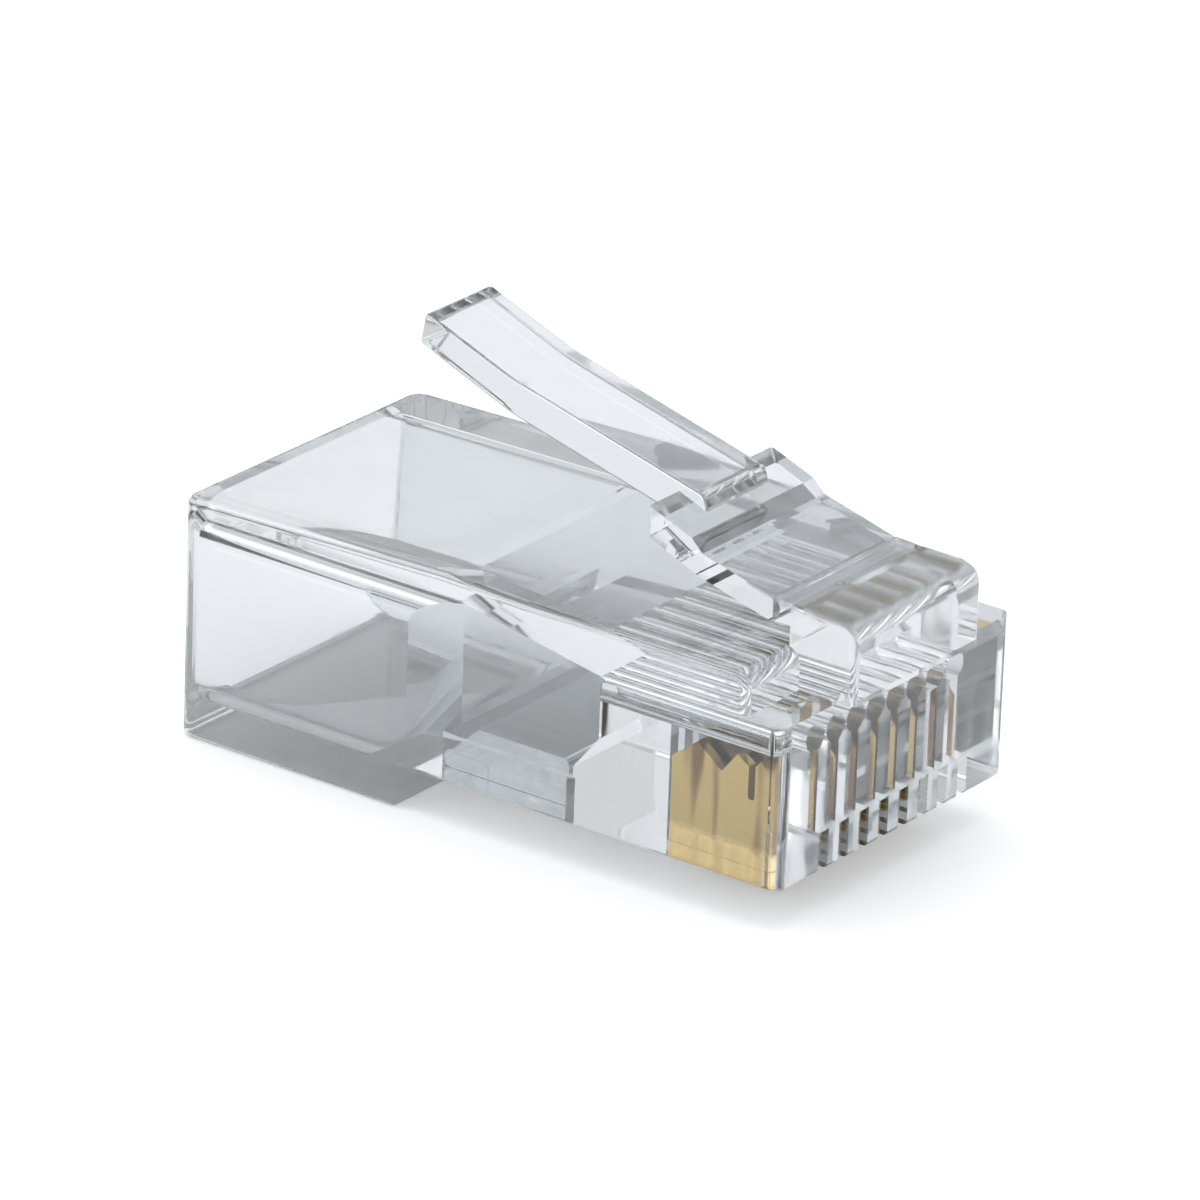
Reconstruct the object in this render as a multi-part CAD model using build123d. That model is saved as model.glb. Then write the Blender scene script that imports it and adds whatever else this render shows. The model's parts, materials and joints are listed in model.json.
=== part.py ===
from build123d import *
import os
from math import cos, radians, sin, tan

# A clear eight-position modular plug before it is crimped: a moulded housing with its latch and
# its jacket clamp, and eight gold-plated contact blades. Sizes are in millimetres.
# The nose points along +X, the latch is on the +Z side and the contacts are on the -Z side.
# Z = 0 is the underside of the rear block, and X = 0 is the middle of the overall length.

# Body outline
overall_length = 23.2
post_overhang = 0.6
body_width = 11.68
nose_height = 6.6
nose_length = 14.3
step_height = 1.4
rear_top_drop = 0.1
crown_rise = 0.12
crown_to_front = 12.6
crown_ramp_length = 4.0
ledge_depth = 1.32
ledge_length = 1.4
rear_corner_radius = 0.55
body_edge_radius = 0.25
front_corner_radius = 0.4
ledge_roll_radius = 0.5
nose_edge_radius = 0.15

# Cable cavity, from the mouth in the rear face to the wire channels
cavity_side_wall = 0.95
cavity_roof_wall = 0.95
cavity_floor_wall = 0.95
cavity_corner_radius = 1.0
mouth_flare = 0.3
ramp_to_front = 16.0
ramp_length = 2.4
nose_floor_wall = 1.05
neck_to_front = 14.2
neck_length = 1.8
funnel_floor_run = 0.9
funnel_side_margin = 0.1
wire_sill = 1.1

# Contacts, their slots and the wire channels
contact_count = 8
contact_pitch = 1.02
contact_thickness = 0.35
contact_length = 3.5
contact_height = 3.85
contact_proud = 0.4
contact_heel_radius = 0.45
front_tine_width = 0.6
middle_tine_width = 1.1
tine_gap_depth = 0.7
tine_slit_depth = 1.2
tine_slit_width = 0.24
slot_side_clearance = 0.025
slot_end_clearance = 0.06
front_wall = 1.2
front_notch_width = 0.48
front_notch_height = 1.3
channel_diameter = 0.92
channel_below_top = 2.45

# Jacket clamp in its window under the nose
window_to_front = 13.15
window_width = 7.8
clamp_length = 4.6
clamp_thickness = 1.45
clamp_side_clearance = 0.05
clamp_front_gap = 0.35
clamp_knuckle_radius = 0.3
clamp_heel_slope = 45.0
clamp_nose_radius = 0.25

# Latch post and latch
post_width = 6.4
post_length = 2.4
post_height = 1.19
post_rise_angle = 2.3
post_front_radius = 0.55
post_side_radius = 0.18
stub_length = 0.88
latch_width = 6.2
strap_length = 2.62
strap_thickness = 0.75
strap_angle = 14.6
shoulder_length = 2.0
shoulder_height = 0.97
shoulder_kick_run = 0.42
shoulder_kick_rise = 0.4
shoulder_slope = 20.5
shoulder_edge_radius = 0.12
lever_width = 3.2
lever_front_run = 6.35
lever_front_angle = 14.4
lever_rear_run = 3.45
lever_rear_angle = 20.1
lever_bend_radius = 6.0
lever_thickness = 1.15
lever_tip_thickness = 1.05
lever_stand = 0.31
lever_nose_run = 0.85
lever_nose_drop = 0.35
lever_nose_radius = 0.3
lever_tip_radius = 0.15
lever_edge_radius = 0.1

# Running clearance at the knuckles of the latch and the clamp
knuckle_clearance = 0.03

# How far a cut runs past the surface it opens, and how deep a cut reaches into the one it joins
cut_overrun = 1.0
cut_overlap = 0.1
same_place = 0.001

# Stations along the length
x_rear = -overall_length / 2
x_front = overall_length / 2
x_body_front = x_front - post_overhang
x_step = x_body_front - nose_length
x_crown = x_body_front - crown_to_front
x_crown_end = x_crown + crown_ramp_length
x_ledge = x_body_front - ledge_length
x_ramp = x_body_front - ramp_to_front
x_window_rear = x_body_front - window_to_front
x_window_front = x_window_rear + clamp_length + clamp_front_gap
x_slot_front = x_body_front - front_wall
x_slot_rear = x_slot_front - contact_length - 2 * slot_end_clearance
x_channel_rear = x_window_front + funnel_floor_run
x_neck = x_body_front - neck_to_front
x_neck_end = x_neck + neck_length
x_post_rear = x_front - post_length
x_bend = x_post_rear - stub_length

# Levels above the underside
z_nose_bottom = step_height
z_top = step_height + nose_height
z_rear_top = z_top - rear_top_drop
z_crown = z_top + crown_rise
z_ledge = z_top - ledge_depth
z_roof = z_rear_top - cavity_roof_wall
z_clamp_top = z_nose_bottom + clamp_thickness
z_channel = z_top - channel_below_top
z_channel_low = z_channel - channel_diameter / 2
z_channel_high = z_channel + channel_diameter / 2
z_post_front = z_top + post_height
z_post_rear = z_post_front + post_length * tan(radians(post_rise_angle))
z_bend = z_post_rear + stub_length * tan(radians(post_rise_angle))
z_knuckle = z_bend - strap_thickness / 2

contact_ys = [(i - (contact_count - 1) / 2) * contact_pitch for i in range(contact_count)]


def side_face(points):
    """Face in the XZ plane inside a closed run of (x, z) points."""
    return make_face(Polyline([(x, 0, z) for x, z in points], close=True))


def across(face, width):
    """Solid of a side face spread evenly each way across the width."""
    return extrude(face, amount=width / 2, dir=(0, 1, 0), both=True)


def block(x_from, x_to, width, z_low, z_high, y_middle=0.0):
    """Plain block between two stations and two levels."""
    middle = Pos((x_from + x_to) / 2, y_middle, (z_low + z_high) / 2)
    return middle * Box(x_to - x_from, width, z_high - z_low)


def rod(x, z, radius, width):
    """Round bar across the width."""
    return Pos(x, 0, z) * Rot(90, 0, 0) * Cylinder(radius, width)


def edges_at(shape, axis, **places):
    """Edges of a shape that run along an axis and whose middle is at the given places."""
    def is_there(edge):
        middle = edge.center()
        return all(abs(getattr(middle, name) - place) < same_place for name, place in places.items())

    return shape.edges().filter_by(axis).filter_by(is_there)


def body_shell():
    """Outside of the moulding without its latch post: rear block, stepped nose and front ledge."""
    body = across(side_face([
        (x_rear, 0),
        (x_step, 0),
        (x_step, z_nose_bottom),
        (x_body_front, z_nose_bottom),
        (x_body_front, z_ledge),
        (x_ledge, z_ledge),
        (x_ledge, z_top),
        (x_crown_end, z_top),
        (x_crown, z_crown),
        (x_rear, z_rear_top),
    ]), body_width)
    body = fillet(edges_at(body, Axis.Z, X=x_rear), rear_corner_radius)
    body = fillet(edges_at(body, Axis.Z, X=x_body_front), front_corner_radius)
    body = fillet(edges_at(body, Axis.Y, X=x_ledge, Z=z_top), ledge_roll_radius)
    body = fillet(edges_at(body, Axis.X, Z=z_nose_bottom), nose_edge_radius)
    rear_rim = body.faces().sort_by(Axis.X)[0].edges()
    return fillet(rear_rim, body_edge_radius)


def cable_cavity():
    """Space for the cable jacket, with its ramp, and the funnel that leads to the wire channels."""
    beyond = x_rear - cut_overrun
    z_nose_floor = z_nose_bottom + nose_floor_wall
    side_view = across(side_face([
        (beyond, cavity_floor_wall),
        (x_ramp, cavity_floor_wall),
        (x_ramp + ramp_length, z_nose_floor),
        (x_window_front, z_nose_floor),
        (x_window_front, z_clamp_top),
        (x_channel_rear, z_channel_low - wire_sill),
        (x_channel_rear, z_channel_high),
        (x_crown, z_roof),
        (beyond, z_roof),
    ]), body_width)
    inner_width = body_width - 2 * cavity_side_wall
    funnel_width = (contact_count - 1) * contact_pitch + channel_diameter + 2 * funnel_side_margin
    plan = make_face(Polyline(
        (beyond, -inner_width / 2),
        (x_neck, -inner_width / 2),
        (x_neck_end, -funnel_width / 2),
        (x_channel_rear, -funnel_width / 2),
        (x_channel_rear, funnel_width / 2),
        (x_neck_end, funnel_width / 2),
        (x_neck, inner_width / 2),
        (beyond, inner_width / 2),
        close=True,
    ))
    plan_view = extrude(plan, amount=z_crown)
    mouth_plane = Plane(
        origin=(beyond, 0, (cavity_floor_wall + z_roof) / 2), x_dir=(0, 1, 0), z_dir=(1, 0, 0)
    )
    mouth = mouth_plane * RectangleRounded(inner_width, z_roof - cavity_floor_wall, cavity_corner_radius)
    end_view = extrude(mouth, amount=x_channel_rear - beyond + cut_overrun)
    return side_view & plan_view & end_view


def contact_cuts():
    """For each contact: its slot, the notch that opens the slot's front end, and its wire channel."""
    slot_width = contact_thickness + 2 * slot_side_clearance
    z_below = z_nose_bottom - cut_overrun
    z_notch = z_nose_bottom + front_notch_height
    x_notch = x_slot_front - cut_overlap
    x_channel = x_channel_rear - cut_overlap
    channel = Cylinder(
        channel_diameter / 2, x_slot_front - x_channel, align=(Align.CENTER, Align.CENTER, Align.MIN)
    )
    cuts = []
    for y in contact_ys:
        cuts.append(block(x_slot_rear, x_slot_front, slot_width, z_below, z_channel, y))
        cuts.append(block(x_notch, x_body_front + cut_overrun, front_notch_width, z_below, z_notch, y))
        cuts.append(Pos(x_channel, y, z_channel) * Rot(0, 90, 0) * channel)
    return cuts


def latch_post():
    """Post on the nose that carries the latch, with the short stub that the latch bends at."""
    post = across(side_face([
        (x_post_rear, z_ledge),
        (x_front, z_ledge),
        (x_front, z_post_front),
        (x_post_rear, z_post_rear),
    ]), post_width)
    post = fillet(edges_at(post, Axis.Y, X=x_front, Z=z_post_front), post_front_radius)
    side_rims = post.faces().filter_by(Axis.Y).edges()
    hidden_rims = edges_at(post, Axis.X, Z=z_ledge) + edges_at(post, Axis.Z, X=x_post_rear)
    post = fillet(side_rims - hidden_rims, post_side_radius)
    stub_low = z_knuckle - strap_thickness / 2
    stub = across(side_face([
        (x_post_rear, stub_low),
        (x_post_rear, z_post_rear),
        (x_bend, z_bend),
        (x_bend, stub_low),
    ]), latch_width)
    socket = rod(x_bend, z_knuckle, strap_thickness / 2 + knuckle_clearance, post_width)
    return post + stub - socket


def housing():
    """The one-piece moulding, hollow for the cable and slotted for the contacts."""
    shell = body_shell() + latch_post()
    shell -= cable_cavity()
    shell -= block(x_window_rear, x_window_front, window_width, z_nose_bottom - cut_overrun, z_clamp_top)
    for cut in contact_cuts():
        shell -= cut
    mouth_rim = shell.faces().sort_by(Axis.X)[0].inner_wires()[0].edges()
    return chamfer(mouth_rim, mouth_flare)


def contact(y):
    """One stamped blade: a round-heeled body with three tines that bite the wire."""
    x_from = x_slot_rear + slot_end_clearance
    x_to = x_from + contact_length
    low = z_nose_bottom - contact_proud
    high = low + contact_height
    x_slit = x_to - front_tine_width
    x_gap = x_slit - middle_tine_width
    x_rear_tine = (x_from + x_gap) / 2
    blade = across(side_face([
        (x_from, low),
        (x_to, low),
        (x_to, high - tine_gap_depth / 2),
        ((x_slit + x_to) / 2, high),
        (x_slit, high - tine_gap_depth / 2),
        ((x_gap + x_slit) / 2, high),
        (x_gap, high - tine_gap_depth),
        (x_rear_tine, high),
        (x_from, high - tine_gap_depth),
    ]), contact_thickness)
    blade = fillet(edges_at(blade, Axis.Y, Z=low), contact_heel_radius)
    slit_radius = tine_slit_width / 2
    z_slit = high - tine_slit_depth
    slit = block(x_slit - slit_radius, x_slit + slit_radius, 2 * contact_thickness, z_slit, high)
    slit_end = rod(x_slit, z_slit, slit_radius, 2 * contact_thickness)
    return Pos(0, y, 0) * (blade - slit - slit_end)


def jacket_clamp():
    """Bar in the window under the nose that swings up against the cable jacket."""
    x_knuckle = x_window_rear + clamp_knuckle_radius + knuckle_clearance
    z_clamp_knuckle = z_nose_bottom + clamp_knuckle_radius
    x_nose = x_window_rear + clamp_length
    heel_rise = clamp_thickness - 2 * clamp_knuckle_radius
    x_heel = x_knuckle + heel_rise / tan(radians(clamp_heel_slope))
    width = window_width - 2 * clamp_side_clearance
    bar = across(side_face([
        (x_knuckle, z_nose_bottom),
        (x_nose, z_nose_bottom),
        (x_nose, z_clamp_top),
        (x_heel, z_clamp_top),
        (x_knuckle, z_nose_bottom + 2 * clamp_knuckle_radius),
    ]), width)
    bar = fillet(edges_at(bar, Axis.Y, X=x_nose, Z=z_clamp_top), clamp_nose_radius)
    return bar + rod(x_knuckle, z_clamp_knuckle, clamp_knuckle_radius, width)


def latch():
    """Springy strap, locking shoulders and the long lever that a finger presses."""
    along = Vector(-cos(radians(strap_angle)), 0, sin(radians(strap_angle)))
    square = Vector(sin(radians(strap_angle)), 0, cos(radians(strap_angle)))
    knuckle = Vector(x_bend, 0, z_knuckle)
    half = square * (strap_thickness / 2)
    root = knuckle + along * strap_length
    x_root, z_root = (root + half).X, (root + half).Z
    x_kick = x_root - shoulder_kick_run
    z_kick = z_root + shoulder_kick_rise
    x_shoulder = x_root - shoulder_length
    z_shoulder = z_kick + (x_kick - x_shoulder) * tan(radians(shoulder_slope))
    strap = across(side_face([
        ((knuckle - half).X, (knuckle - half).Z),
        ((knuckle + half).X, (knuckle + half).Z),
        (x_root, z_root),
        (x_kick, z_kick),
        (x_shoulder, z_shoulder),
        (x_shoulder, z_shoulder - shoulder_height),
        ((root - half).X, (root - half).Z),
    ]), latch_width)
    strap = fillet(edges_at(strap, Axis.Z, X=x_shoulder), shoulder_edge_radius)
    strap += rod(x_bend, z_knuckle, strap_thickness / 2, latch_width)

    front_slope = tan(radians(lever_front_angle))
    rear_slope = tan(radians(lever_rear_angle))
    z_lever = z_shoulder + lever_stand
    x_turn = x_shoulder - lever_front_run
    z_turn = z_lever + lever_front_run * front_slope
    x_tip = x_turn - lever_rear_run
    z_tip = z_turn + lever_rear_run * rear_slope
    x_nose = x_shoulder + lever_nose_run
    z_nose = z_lever - lever_nose_run * front_slope
    z_inside = z_shoulder - shoulder_height / 2 - lever_nose_run * tan(radians(shoulder_slope))
    tip_lean = lever_tip_thickness * sin(radians(lever_rear_angle)) / 2
    lever = across(side_face([
        (x_tip + tip_lean, z_tip),
        (x_turn, z_turn),
        (x_nose, z_nose),
        (x_nose + lever_nose_drop, z_inside),
        (x_shoulder, z_lever - lever_thickness),
        (x_turn, z_turn - lever_thickness),
        (x_tip, z_tip - lever_tip_thickness),
    ]), lever_width)
    lever = fillet(edges_at(lever, Axis.Y, X=x_nose, Z=z_nose), lever_nose_radius)
    lever = fillet(edges_at(lever, Axis.Y, X=x_turn), lever_bend_radius)
    lever = fillet(lever.faces().sort_by(Axis.X)[0].edges().filter_by(Axis.Y), lever_tip_radius)
    sides = lever.faces().filter_by(Axis.Y)
    lever = fillet(sides.edges(), lever_edge_radius)
    return strap + lever


pieces = {"housing": housing(), "latch": latch(), "jacket_clamp": jacket_clamp()}
for number, contact_y in enumerate(contact_ys, 1):
    pieces[f"contact_{number}"] = contact(contact_y)

os.makedirs("parts", exist_ok=True)
for name, piece in pieces.items():
    export_step(piece, f"parts/{name}.step")
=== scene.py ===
import json
from math import cos, radians, sin

import bpy
from bpy.props import FloatProperty, FloatVectorProperty, IntProperty, PointerProperty
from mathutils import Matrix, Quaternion, Vector

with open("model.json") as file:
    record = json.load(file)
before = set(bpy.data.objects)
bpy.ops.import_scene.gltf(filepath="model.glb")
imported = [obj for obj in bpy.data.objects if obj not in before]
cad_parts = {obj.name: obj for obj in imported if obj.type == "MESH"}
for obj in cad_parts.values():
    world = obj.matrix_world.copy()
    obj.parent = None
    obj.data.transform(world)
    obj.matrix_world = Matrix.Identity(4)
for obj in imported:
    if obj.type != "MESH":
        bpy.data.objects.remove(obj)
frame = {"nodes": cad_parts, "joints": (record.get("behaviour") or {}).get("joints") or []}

# Finishes and studio for a clear eight-position modular plug. Lengths are in metres.
# The nose points along +X, the latch is on the +Z side and the contacts are on the -Z side.

bl_info = {
    "name": "Clear modular plug",
    "version": (1, 0, 0),
    "blender": (4, 5, 0),
    "location": "View3D > Sidebar > Modular plug",
    "description": "Clear plastic and gold plate for an eight-position modular plug, in a white studio",
    "category": "Object",
}

MM = 0.001
CONTACT_NODES = tuple(sorted(name for name in frame["nodes"] if name.startswith("contact_")))
JOINTS = {joint["name"]: joint for joint in frame["joints"]}
WHITE = (1.0, 1.0, 1.0, 1.0)

# Levels of the noise between which a finish changes, and how far its marks are drawn out along Z.
SMUDGE_EDGE = (0.45, 0.75)
MARK_EDGE = (0.3, 0.7)
# The bands of painted shade on the gold begin and end at these two noise levels.
PAINTED_SHADE_EDGE = (0.42, 0.62)
MARK_STRETCH = (1.0, 1.0, 0.06)
BAND_STRETCH = (1.0, 1.0, 0.12)

# Width of the camera's sensor in millimetres and the range that it sees in metres.
SENSOR_WIDTH = 36.0
CLIP_RANGE = (0.01, 10.0)

# Soft round patches of the room that metal and clear plastic show. Each has the azimuth from +X and the
# elevation of its middle, the angles at which it is full and at which it ends, all in degrees, and a level.
ROOM_PATCHES = {
    "dark_camera_side": (-54.1, 22.9, 16.0, 40.0, 0.05),
    "grey_wall_behind": (138.0, 36.0, 6.0, 20.0, 0.70),
    "dark_skirting_behind": (137.0, 7.0, 13.0, 17.0, 0.03),
    "dark_skirting_side": (106.0, 8.0, 13.0, 17.0, 0.02),
    "grey_doorway": (48.0, 13.0, 8.0, 20.0, 0.75),
    "overhead_softbox": (150.0, 84.0, 18.0, 34.0, 2.0),
    "left_softbox": (-150.0, 35.0, 12.0, 26.0, 2.2),
}


def pivot(joint_name):
    """Point that a hinge of the record turns about."""
    return Vector(JOINTS[joint_name]["pos_m"])


class PlasticSettings(bpy.types.PropertyGroup):
    """Clear moulding."""

    tint: FloatVectorProperty(
        name="Tint", description="Colour of light that has passed through one wall", subtype="COLOR",
        size=3, min=0.0, max=1.0, default=(0.81, 0.83, 0.84),
    )
    ior: FloatProperty(
        name="IOR", description="Refractive index of the plastic", default=1.585, min=1.0, max=2.5,
    )
    gloss_roughness: FloatProperty(
        name="Roughness", description="Blur of the polished faces", default=0.03, min=0.0, max=1.0,
        subtype="FACTOR",
    )
    wave_size: FloatProperty(
        name="Wave size", description="Width of the gentle waves that moulding leaves in a face",
        default=3.0 * MM, min=0.1 * MM, unit="LENGTH",
    )
    wave_depth: FloatProperty(
        name="Wave depth", description="Depth of those waves", default=0.004 * MM, min=0.0, precision=6,
        unit="LENGTH",
    )
    smudge_size: FloatProperty(
        name="Smudge size", description="Width of the patches where the gloss is a little duller",
        default=1.4 * MM, min=0.1 * MM, unit="LENGTH",
    )
    smudge_blur: FloatProperty(
        name="Smudge blur", description="Blur of those patches as a multiple of the roughness", default=3.0,
        min=0.0, max=10.0,
    )
    frost_roughness: FloatProperty(
        name="Frost roughness", description="Added blur of the frosted top of the post", default=0.14,
        min=0.0, max=1.0, subtype="FACTOR",
    )
    frost_start: FloatProperty(
        name="Frost start", description="X at which the frosted top begins", default=8.6 * MM,
        unit="LENGTH",
    )
    frost_level: FloatProperty(
        name="Frost level", description="Height from which the top is frosted", default=9.1 * MM,
        unit="LENGTH",
    )
    frost_blend: FloatProperty(
        name="Frost blend", description="Width of the edge of the frosted top", default=0.2 * MM, min=0.0,
        unit="LENGTH",
    )
    gate_centre: FloatVectorProperty(
        name="Gate mark", description="Middle of the small round mark of the moulding gate on the post",
        size=3, default=(9.3 * MM, -0.88 * MM, 0.0), unit="LENGTH", subtype="TRANSLATION",
    )
    gate_radius: FloatProperty(
        name="Gate mark radius", description="Radius of that mark", default=0.18 * MM, min=0.0,
        unit="LENGTH",
    )
    gate_floor: FloatProperty(
        name="Gate mark floor", description="Radius of the flat floor of that mark as a share of it",
        default=0.6, min=0.0, max=1.0, subtype="FACTOR",
    )
    gate_depth: FloatProperty(
        name="Gate mark depth", description="Depth of that mark", default=0.03 * MM, min=0.0, precision=6,
        unit="LENGTH",
    )
    knuckle_radius: FloatProperty(
        name="Bend radius", description="Radius of the round that stands for the latch's bend",
        default=0.42 * MM, min=0.0, unit="LENGTH",
    )
    knuckle_share: FloatProperty(
        name="Bend share", description="Where the clear front part of that round begins, as a share of it",
        default=0.4, min=-1.0, max=1.0, subtype="FACTOR",
    )


class GoldSettings(bpy.types.PropertyGroup):
    """Gold-plated contact blades."""

    colour: FloatVectorProperty(
        name="Colour", description="Colour of the plating", subtype="COLOR", size=3, min=0.0, max=1.0,
        default=(0.80, 0.58, 0.24),
    )
    # Painted shade: a darker brown laid in random upright bands above the foot, standing in for the dark
    # brown of the shaded reflections between the blades.
    painted_shade_colour: FloatVectorProperty(
        name="Deep colour", description="Colour where the plating is thin", subtype="COLOR", size=3,
        min=0.0, max=1.0, default=(0.30, 0.16, 0.06),
    )
    roughness: FloatProperty(
        name="Roughness", description="Blur of the plating", default=0.14, min=0.0, max=1.0,
        subtype="FACTOR",
    )
    grain_size: FloatProperty(
        name="Grain size", description="Spacing of the fine marks across the blade",
        default=0.10 * MM, min=0.01 * MM, unit="LENGTH",
    )
    band_size: FloatProperty(
        name="Band size", description="Spacing of the broad upright bands", default=0.7 * MM, min=0.05 * MM,
        unit="LENGTH",
    )
    band_depth: FloatProperty(
        name="Band depth", description="Depth of the bands and marks", default=0.03 * MM, min=0.0,
        precision=6, unit="LENGTH",
    )
    mark_blur: FloatProperty(
        name="Mark blur", description="Blur of the fine marks as a multiple of the roughness", default=1.6,
        min=0.0, max=10.0,
    )
    mark_share: FloatProperty(
        name="Mark share", description="Depth of the fine marks as a share of the bands", default=0.3,
        min=0.0, max=1.0, subtype="FACTOR",
    )
    # Below this height the gold keeps its plain colour, without the bands of painted shade.
    foot_top: FloatProperty(
        name="Foot top", description="Height of the top of the burnished foot", default=1.95 * MM, min=0.0,
        unit="LENGTH",
    )
    foot_blend: FloatProperty(
        name="Foot blend", description="Height over which the burnished foot fades out", default=0.25 * MM,
        min=0.0, unit="LENGTH",
    )


class StudioSettings(bpy.types.PropertyGroup):
    """Floor, soft light and camera."""

    floor_size: FloatProperty(
        name="Floor size", description="Side of the square floor", default=1.2, min=0.1, unit="LENGTH",
    )
    floor_colour: FloatVectorProperty(
        name="Floor colour", description="Colour of the floor", subtype="COLOR", size=3, min=0.0, max=1.0,
        default=(0.86, 0.87, 0.88),
    )
    floor_glow: FloatProperty(
        name="Floor glow", description="Light added where metal and clear plastic see the floor",
        default=0.05, min=0.0, max=1.0, subtype="FACTOR",
    )
    camera_glow: FloatProperty(
        name="Camera glow", description="Light added on top of that where the camera sees the floor",
        default=0.25, min=0.0, max=1.0, subtype="FACTOR",
    )
    room_colour: FloatVectorProperty(
        name="Room colour", description="Light of the room around the plug", subtype="COLOR", size=3,
        min=0.0, max=4.0, default=(0.95, 0.97, 1.0),
    )
    light_bounces: IntProperty(
        name="Light bounces", description="How often light may turn inside the clear plastic", default=16,
        min=4, max=128,
    )
    floor_bounces: IntProperty(
        name="Floor bounces", description="How often light may scatter from the matt floor", default=1,
        min=0, max=16,
    )
    azimuth: FloatProperty(
        name="Azimuth", description="Turn of the camera from looking along +Y", subtype="ANGLE",
        default=radians(35.883),
    )
    elevation: FloatProperty(
        name="Elevation", description="Height of the camera over the horizon", subtype="ANGLE",
        default=radians(22.915),
    )
    roll: FloatProperty(
        name="Roll", description="Turn of the camera about its own line of sight", subtype="ANGLE",
        default=radians(2.102),
    )
    distance: FloatProperty(
        name="Distance", description="From the camera to the plug", default=0.300, min=0.05, unit="LENGTH",
    )
    lens: FloatProperty(name="Lens", description="Focal length", default=298.01, min=1.0, unit="CAMERA")
    target: FloatVectorProperty(
        name="Target", description="Point that the camera looks at before its two offsets", size=3,
        default=(-0.05 * MM, 0.0, 5.0 * MM), unit="LENGTH", subtype="TRANSLATION",
    )
    offset_right: FloatProperty(
        name="Offset right", description="Shift of the target to the camera's right", default=0.047 * MM,
        unit="LENGTH",
    )
    offset_up: FloatProperty(
        name="Offset up", description="Shift of the target to the camera's top", default=0.775 * MM,
        unit="LENGTH",
    )


def new_tree(material):
    """Empties a material's node tree and returns it with its output node."""
    material.use_nodes = True
    tree = material.node_tree
    tree.nodes.clear()
    return tree, tree.nodes.new("ShaderNodeOutputMaterial")


def add(tree, kind, inputs=None, **settings):
    """Adds a node; inputs are constants or the sockets of other nodes."""
    node = tree.nodes.new(kind)
    for name, value in settings.items():
        setattr(node, name, value)
    for key, value in (inputs or {}).items():
        if isinstance(value, bpy.types.NodeSocket):
            tree.links.new(value, node.inputs[key])
        else:
            node.inputs[key].default_value = value
    return node


def maths(tree, operation, first, second=0.0):
    """Output of a maths node."""
    return add(tree, "ShaderNodeMath", {0: first, 1: second}, operation=operation).outputs[0]


def remap(tree, value, low, high, to_low=0.0, to_high=1.0):
    """Smoothly maps a value between two levels onto two others."""
    inputs = {"Value": value, "From Min": low, "From Max": high, "To Min": to_low, "To Max": to_high}
    return add(tree, "ShaderNodeMapRange", inputs, interpolation_type="SMOOTHSTEP").outputs["Result"]


def noise(tree, vector, size, detail=0.0):
    """Noise whose features are about that many metres wide."""
    inputs = {"Vector": vector, "Scale": 1.0 / size, "Detail": detail}
    return add(tree, "ShaderNodeTexNoise", inputs).outputs["Fac"]


def stretched(tree, vector, factors):
    """Coordinates scaled by a factor for each axis."""
    return add(tree, "ShaderNodeMapping", {"Vector": vector, "Scale": factors}).outputs["Vector"]


def set_finish(nodes, material):
    """Gives the shown CAD nodes a finish."""
    for name in nodes:
        obj = frame["nodes"][name]
        if not obj.material_slots:
            obj.data.materials.append(material)
        for material_slot in obj.material_slots:
            material_slot.material = material


def frosted_zone(tree, place, settings):
    """1 on the frosted top of the post and 0 elsewhere."""
    along = add(tree, "ShaderNodeSeparateXYZ", {"Vector": place}).outputs
    ahead = remap(tree, along["X"], settings.frost_start, settings.frost_start + settings.frost_blend)
    above = remap(tree, along["Z"], settings.frost_level - settings.frost_blend, settings.frost_level)
    return maths(tree, "MULTIPLY", ahead, above)


def gate_mark(tree, place, settings):
    """Small round dimple that the moulding gate left: -1 inside it and 0 outside."""
    centre = tuple(settings.gate_centre)
    away = add(tree, "ShaderNodeVectorMath", {0: place, 1: centre}, operation="SUBTRACT").outputs["Vector"]
    flat = stretched(tree, away, (1.0, 1.0, 0.0))
    reach = add(tree, "ShaderNodeVectorMath", {0: flat}, operation="LENGTH").outputs["Value"]
    floor_radius = settings.gate_floor * settings.gate_radius
    return remap(tree, reach, floor_radius, settings.gate_radius, -1.0, 0.0)


def plastic_relief(tree, place, frost, settings):
    """Normal of the faces, with the waves of the moulding and the gate mark."""
    waves = noise(tree, place, settings.wave_size)
    mark = maths(tree, "MULTIPLY", gate_mark(tree, place, settings), frost)
    mark = maths(tree, "MULTIPLY", mark, settings.gate_depth / settings.wave_depth)
    height = maths(tree, "ADD", waves, mark)
    inputs = {"Height": height, "Strength": 1.0, "Distance": settings.wave_depth}
    return add(tree, "ShaderNodeBump", inputs).outputs["Normal"]


def plastic_roughness(tree, place, frost, settings):
    """Polished faces with duller patches and the frosted top of the post."""
    smudges = noise(tree, place, settings.smudge_size)
    gloss = settings.gloss_roughness
    patches = remap(tree, smudges, *SMUDGE_EDGE, gloss, settings.smudge_blur * gloss)
    return maths(tree, "ADD", patches, maths(tree, "MULTIPLY", frost, settings.frost_roughness))


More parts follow.
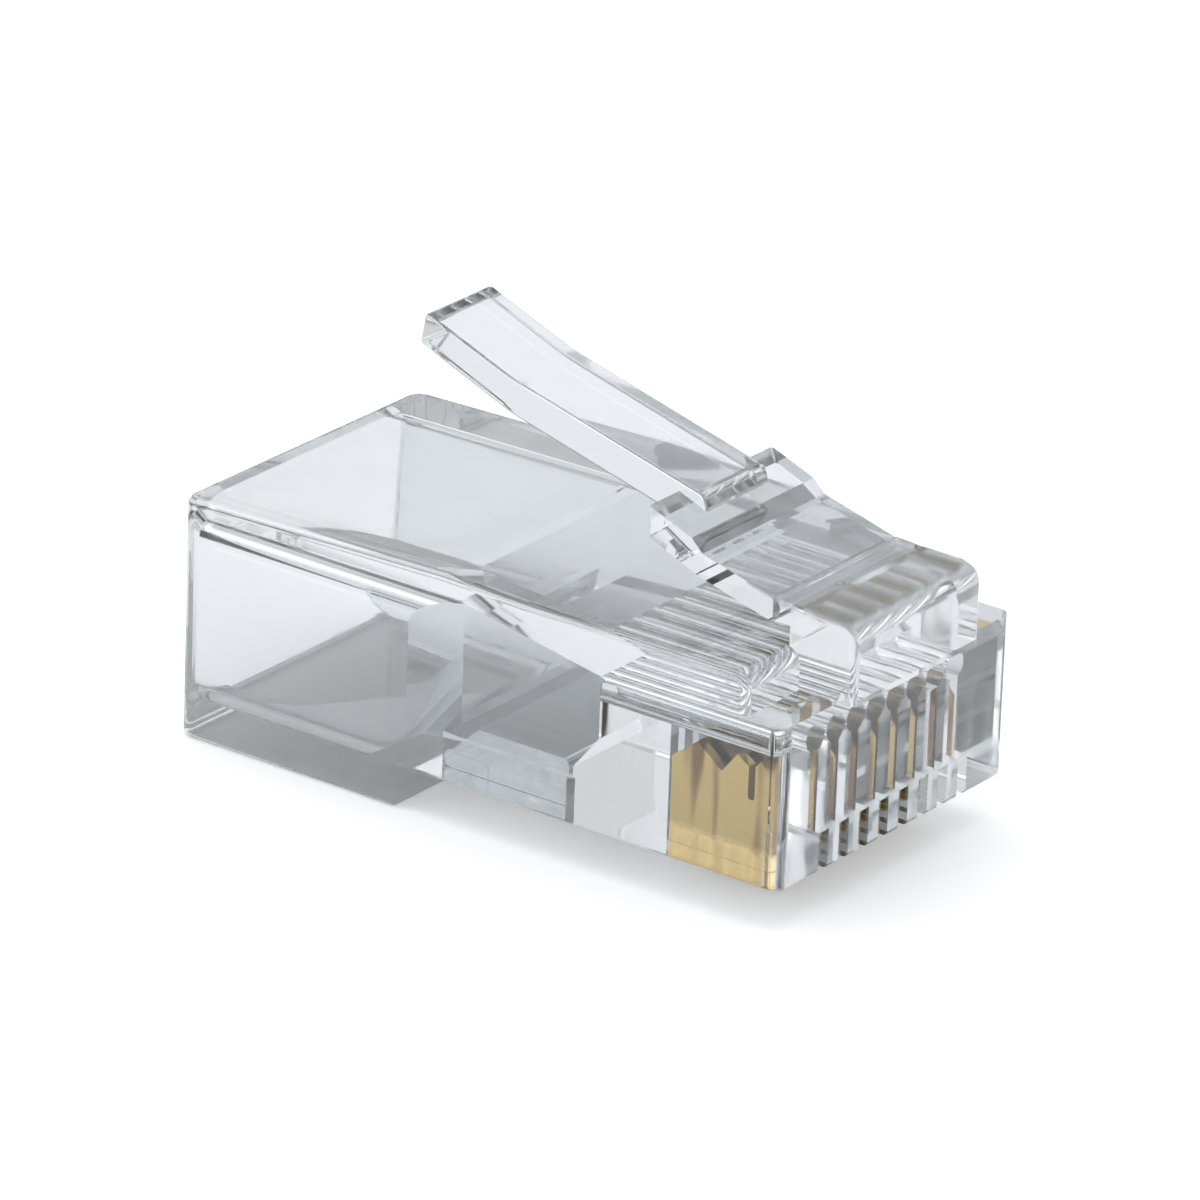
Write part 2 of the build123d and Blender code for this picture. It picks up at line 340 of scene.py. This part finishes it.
def opened_bend(tree, place, shader, settings):
    """Lets light straight through the front part of the round that stands for the latch's bend."""
    inputs = {0: place, 1: pivot("latch_press")}
    away = add(tree, "ShaderNodeVectorMath", inputs, operation="SUBTRACT").outputs["Vector"]
    flat = stretched(tree, away, (1.0, 0.0, 1.0))
    reach = add(tree, "ShaderNodeVectorMath", {0: flat}, operation="LENGTH").outputs["Value"]
    ahead = add(tree, "ShaderNodeSeparateXYZ", {"Vector": flat}).outputs["X"]
    start = settings.knuckle_share * settings.knuckle_radius
    inside = maths(tree, "LESS_THAN", reach, settings.knuckle_radius)
    inside = maths(tree, "MULTIPLY", inside, maths(tree, "GREATER_THAN", ahead, start))
    clear = add(tree, "ShaderNodeBsdfTransparent").outputs["BSDF"]
    return add(tree, "ShaderNodeMixShader", {0: inside, 1: shader, 2: clear}).outputs["Shader"]


def clear_plastic(name, settings, has_bend):
    """Clear polycarbonate, with or without the opened round of the latch's bend."""
    material = bpy.data.materials.new(name)
    tree, output = new_tree(material)
    place = add(tree, "ShaderNodeTexCoord").outputs["Object"]
    frost = frosted_zone(tree, place, settings)
    shader = add(tree, "ShaderNodeBsdfPrincipled", {
        "Base Color": (*settings.tint, 1.0),
        "Roughness": plastic_roughness(tree, place, frost, settings),
        "IOR": settings.ior,
        "Transmission Weight": 1.0,
        "Normal": plastic_relief(tree, place, frost, settings),
    }).outputs["BSDF"]
    if has_bend:
        shader = opened_bend(tree, place, shader, settings)
    tree.links.new(shader, output.inputs["Surface"])
    return material


def gold_plate(name, settings):
    """Bright gold plate over stamped copper alloy, with upright drawing marks, and random upright bands of
    painted shade in a darker brown that are left out on the foot.
    """
    material = bpy.data.materials.new(name)
    tree, output = new_tree(material)
    place = add(tree, "ShaderNodeTexCoord").outputs["Object"]
    marks = noise(tree, stretched(tree, place, MARK_STRETCH), settings.grain_size, detail=3.0)
    bands = noise(tree, stretched(tree, place, BAND_STRETCH), settings.band_size, detail=1.0)
    height = add(tree, "ShaderNodeSeparateXYZ", {"Vector": place}).outputs["Z"]
    body = remap(tree, height, settings.foot_top - settings.foot_blend, settings.foot_top)
    # Painted shade: random upright bands of a darker brown, left out below the foot top.
    painted_shade_bands = maths(tree, "MULTIPLY", remap(tree, bands, *PAINTED_SHADE_EDGE), body)
    colour = add(tree, "ShaderNodeMix", {
        "Factor": painted_shade_bands, "A": (*settings.colour, 1.0), "B": (*settings.painted_shade_colour, 1.0),
    }, data_type="RGBA")
    relief = maths(tree, "ADD", maths(tree, "MULTIPLY", marks, settings.mark_share), bands)
    bump = add(tree, "ShaderNodeBump", {"Height": relief, "Strength": 1.0, "Distance": settings.band_depth})
    marked = settings.mark_blur * settings.roughness
    shader = add(tree, "ShaderNodeBsdfPrincipled", {
        "Base Color": colour.outputs["Result"],
        "Metallic": 1.0,
        "Roughness": remap(tree, marks, *MARK_EDGE, settings.roughness, marked),
        "Normal": bump.outputs["Normal"],
    })
    tree.links.new(shader.outputs["BSDF"], output.inputs["Surface"])
    return material


class PLUG_OT_clear_moulding(bpy.types.Operator):
    """Finish the housing, the latch and the jacket clamp in clear plastic"""

    bl_idname = "modular_plug.clear_moulding"
    bl_label = "Clear moulding"

    def execute(self, context):
        settings = context.scene.plug_plastic
        with_bend = clear_plastic("clear_plastic", settings, True)
        plain = clear_plastic("clear_plastic_clamp", settings, False)
        set_finish(("housing", "latch"), with_bend)
        set_finish(("jacket_clamp",), plain)
        return {"FINISHED"}


class PLUG_OT_contacts(bpy.types.Operator):
    """Finish the eight contact blades in gold plate"""

    bl_idname = "modular_plug.contacts"
    bl_label = "Contact blades"

    def execute(self, context):
        set_finish(CONTACT_NODES, gold_plate("gold_plate", context.scene.plug_gold))
        return {"FINISHED"}


def white_floor(settings):
    """Pale matt floor that the camera, metal and clear plastic see as white, with the plug's shadow."""
    bpy.ops.object.select_all(action="DESELECT")
    bpy.ops.mesh.primitive_plane_add(size=settings.floor_size, location=(0.0, 0.0, 0.0))
    floor = bpy.context.active_object
    floor.name = "floor"
    material = bpy.data.materials.new("white_floor")
    tree, output = new_tree(material)
    path = add(tree, "ShaderNodeLightPath").outputs
    seen = maths(tree, "MAXIMUM", path["Is Camera Ray"], path["Is Glossy Ray"])
    seen = maths(tree, "MAXIMUM", seen, path["Is Transmission Ray"])
    matt = add(tree, "ShaderNodeBsdfDiffuse", {"Color": (*settings.floor_colour, 1.0)}).outputs["BSDF"]
    strength = maths(tree, "MULTIPLY", path["Is Camera Ray"], settings.camera_glow)
    strength = maths(tree, "ADD", strength, settings.floor_glow)
    glow = add(tree, "ShaderNodeEmission", {"Color": WHITE, "Strength": strength}).outputs["Emission"]
    lit = add(tree, "ShaderNodeAddShader", {0: matt, 1: glow}).outputs["Shader"]
    shader = add(tree, "ShaderNodeMixShader", {0: seen, 1: matt, 2: lit}).outputs["Shader"]
    tree.links.new(shader, output.inputs["Surface"])
    floor.data.materials.append(material)


def direction(azimuth, elevation):
    """Unit vector toward an azimuth from +X and an elevation, both in radians."""
    return Vector((cos(azimuth) * cos(elevation), sin(azimuth) * cos(elevation), sin(elevation)))


def add_patch(tree, way, colour, patch):
    """Lays one soft round patch over the colour of the room."""
    azimuth, elevation, full, end, level = patch
    middle = direction(radians(azimuth), radians(elevation))
    inputs = {0: way, 1: middle}
    closeness = add(tree, "ShaderNodeVectorMath", inputs, operation="DOT_PRODUCT").outputs["Value"]
    inside = remap(tree, closeness, cos(radians(end)), cos(radians(full)))
    inputs = {"Factor": inside, "A": colour, "B": (level, level, level, 1.0)}
    return add(tree, "ShaderNodeMix", inputs, data_type="RGBA").outputs["Result"]


def studio_world(context, settings):
    """Soft white room with a few darker and brighter patches, and plain white to the camera."""
    world = bpy.data.worlds.new("studio_world")
    context.scene.world = world
    world.use_nodes = True
    tree = world.node_tree
    tree.nodes.clear()
    way = add(tree, "ShaderNodeTexCoord").outputs["Generated"]
    colour = (*settings.room_colour, 1.0)
    for patch in ROOM_PATCHES.values():
        colour = add_patch(tree, way, colour, patch)
    seen = add(tree, "ShaderNodeLightPath").outputs["Is Camera Ray"]
    inputs = {"Factor": seen, "A": colour, "B": WHITE}
    colour = add(tree, "ShaderNodeMix", inputs, data_type="RGBA").outputs["Result"]
    background = add(tree, "ShaderNodeBackground", {"Color": colour, "Strength": 1.0}).outputs["Background"]
    output = tree.nodes.new("ShaderNodeOutputWorld")
    tree.links.new(background, output.inputs["Surface"])


def camera_axis(settings):
    """Direction from the plug to the camera."""
    flat = cos(settings.elevation)
    return Vector((
        sin(settings.azimuth) * flat, -cos(settings.azimuth) * flat, sin(settings.elevation),
    ))


def studio_camera(context, settings):
    """Camera at the photograph's angle, with its slight roll."""
    back = camera_axis(settings)
    turn = (-back).to_track_quat("-Z", "Y") @ Quaternion((0.0, 0.0, 1.0), settings.roll)
    right = turn @ Vector((1.0, 0.0, 0.0))
    up = turn @ Vector((0.0, 1.0, 0.0))
    aim = Vector(settings.target) + right * settings.offset_right + up * settings.offset_up
    bpy.ops.object.camera_add(location=aim + back * settings.distance)
    camera = context.active_object
    camera.name = "camera"
    camera.rotation_mode = "QUATERNION"
    camera.rotation_quaternion = turn
    camera.data.lens = settings.lens
    camera.data.sensor_width = SENSOR_WIDTH
    camera.data.clip_start, camera.data.clip_end = CLIP_RANGE
    context.scene.camera = camera


class PLUG_OT_studio(bpy.types.Operator):
    """Set up the white floor, the soft light and the camera"""

    bl_idname = "modular_plug.studio"
    bl_label = "Studio"

    def execute(self, context):
        settings = context.scene.plug_studio
        context.scene.view_settings.view_transform = "Standard"
        for name in ("max_bounces", "transmission_bounces", "glossy_bounces"):
            setattr(context.scene.cycles, name, settings.light_bounces)
        context.scene.cycles.diffuse_bounces = settings.floor_bounces
        white_floor(settings)
        studio_world(context, settings)
        studio_camera(context, settings)
        return {"FINISHED"}


class PLUG_PT_panel(bpy.types.Panel):
    """Steps that finish the plug and set its stage"""

    bl_idname = "PLUG_PT_panel"
    bl_label = "Modular plug"
    bl_space_type = "VIEW_3D"
    bl_region_type = "UI"
    bl_category = "Modular plug"

    def draw(self, context):
        for operator in OPERATORS:
            self.layout.operator(operator.bl_idname)
        for group in SETTINGS:
            box = self.layout.box()
            box.label(text=group.__doc__)
            for name in group.__annotations__:
                box.prop(getattr(context.scene, SETTINGS[group]), name)


SETTINGS = {PlasticSettings: "plug_plastic", GoldSettings: "plug_gold", StudioSettings: "plug_studio"}
OPERATORS = (PLUG_OT_clear_moulding, PLUG_OT_contacts, PLUG_OT_studio)
CLASSES = (*SETTINGS, *OPERATORS, PLUG_PT_panel)


def register():
    for cls in CLASSES:
        bpy.utils.register_class(cls)
    for group, name in SETTINGS.items():
        setattr(bpy.types.Scene, name, PointerProperty(type=group))


def unregister():
    for name in SETTINGS.values():
        delattr(bpy.types.Scene, name)
    for cls in reversed(CLASSES):
        bpy.utils.unregister_class(cls)


def main():
    """Runs every step in order."""
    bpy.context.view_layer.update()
    register()
    bpy.ops.modular_plug.clear_moulding()
    bpy.ops.modular_plug.contacts()
    bpy.ops.modular_plug.studio()


if __name__ == "__main__":
    main()
